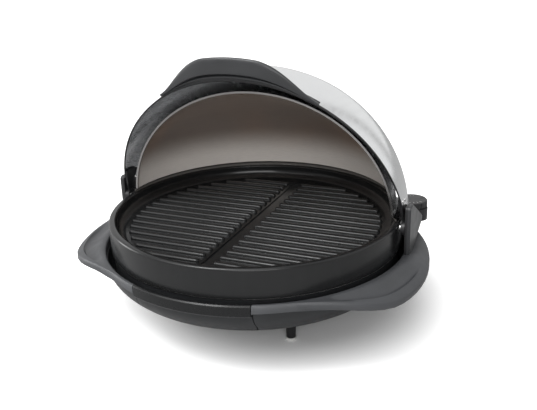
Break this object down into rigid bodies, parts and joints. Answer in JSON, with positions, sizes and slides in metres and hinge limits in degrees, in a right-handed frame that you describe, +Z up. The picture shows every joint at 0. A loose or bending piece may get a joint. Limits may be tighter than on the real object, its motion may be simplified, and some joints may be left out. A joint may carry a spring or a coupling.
{
  "type": "electric indoor grill with lid",
  "caption": "Round electric table grill: ribbed cast pan in a footed base with wing handles and drip drawer, under a roll-top lid of two telescoping steel shells.",
  "frame": {"origin": "on the table, under the middle of the round cooking pan", "axes": "+Z up, front with the drip drawer towards -Y, +X to the right wing handle; the lid's hinge axis is parallel to X"},
  "size_m": [0.4878, 0.426, 0.363],
  "materials": {
    "cast_pan": "black non-stick coating on cast aluminium, satin",
    "shell_outer": "polished stainless steel with a fine brushed grain",
    "shell_inner": "brushed stainless steel, warm reflections",
    "grey_plastic": "dark grey heat-resistant plastic, fine grain",
    "black_plastic": "black plastic, semi-matt",
    "cover_grey": "mid grey plastic, soft gloss",
    "bright_steel": "bright steel",
    "sheet_aluminium": "mill-finish aluminium sheet",
    "element_steel": "dark heat-tinted steel sheath",
    "foot_rubber": "black rubber",
    "lens_red": "clear red indicator lens",
    "pin_brass": "nickel-plated brass"
  },
  "bodies": {
    "base": {"grill_pan": "cast_pan", "heating_element": "element_steel", "element_clips": "sheet_aluminium", "terminal_guard": "sheet_aluminium", "heat_reflector": "sheet_aluminium", "base_bowl": "grey_plastic", "legs": "black_plastic", "base_rim": "grey_plastic", "reflector_spacers": "black_plastic", "spacer_screws": "bright_steel", "foot_pads": "foot_rubber", "drawer_rails": "black_plastic", "rear_shell": "shell_inner", "rear_shell_brackets": "black_plastic", "bracket_screws": "bright_steel", "hinge_pins": "bright_steel", "hinge_post_left": "black_plastic", "hinge_post_right": "black_plastic", "post_cover_left": "cover_grey", "post_cover_right": "cover_grey", "post_screws": "bright_steel"},
    "lid": {"front_shell": "shell_outer", "shell_edge_trim": "black_plastic", "lid_handle": "grey_plastic", "handle_screws": "bright_steel", "hinge_arm_left": "black_plastic", "hinge_arm_right": "black_plastic", "arm_rivets": "bright_steel"},
    "drawer": {"drawer_front": "grey_plastic", "drip_tray": "sheet_aluminium"},
    "controller": {"controller_housing": "black_plastic", "controller_probe": "bright_steel", "indicator_lens": "lens_red", "inlet_pins": "pin_brass"},
    "dial": {"controller_dial": "black_plastic", "dial_spindle": "bright_steel"}
  },
  "joints": [
    {"name": "lid_hinge", "type": "hinge", "parent": "base", "child": "lid", "pos_m": [0, 0.002, 0.142], "axis": [1, 0, 0], "range_deg": [0, 71.8]},
    {"name": "drawer_slide", "type": "slide", "parent": "base", "child": "drawer", "axis": [0, -1, 0], "range_m": [0, 0.095]},
    {"name": "controller_unplug", "type": "slide", "parent": "base", "child": "controller", "axis": [0.848, 0.5299, 0], "range_m": [0, 0.07]},
    {"name": "dial_turn", "type": "hinge", "parent": "controller", "child": "dial", "pos_m": [0.19166, 0.11976, 0.13], "axis": [0, 0, -1], "range_deg": [0, 280]}
  ]
}
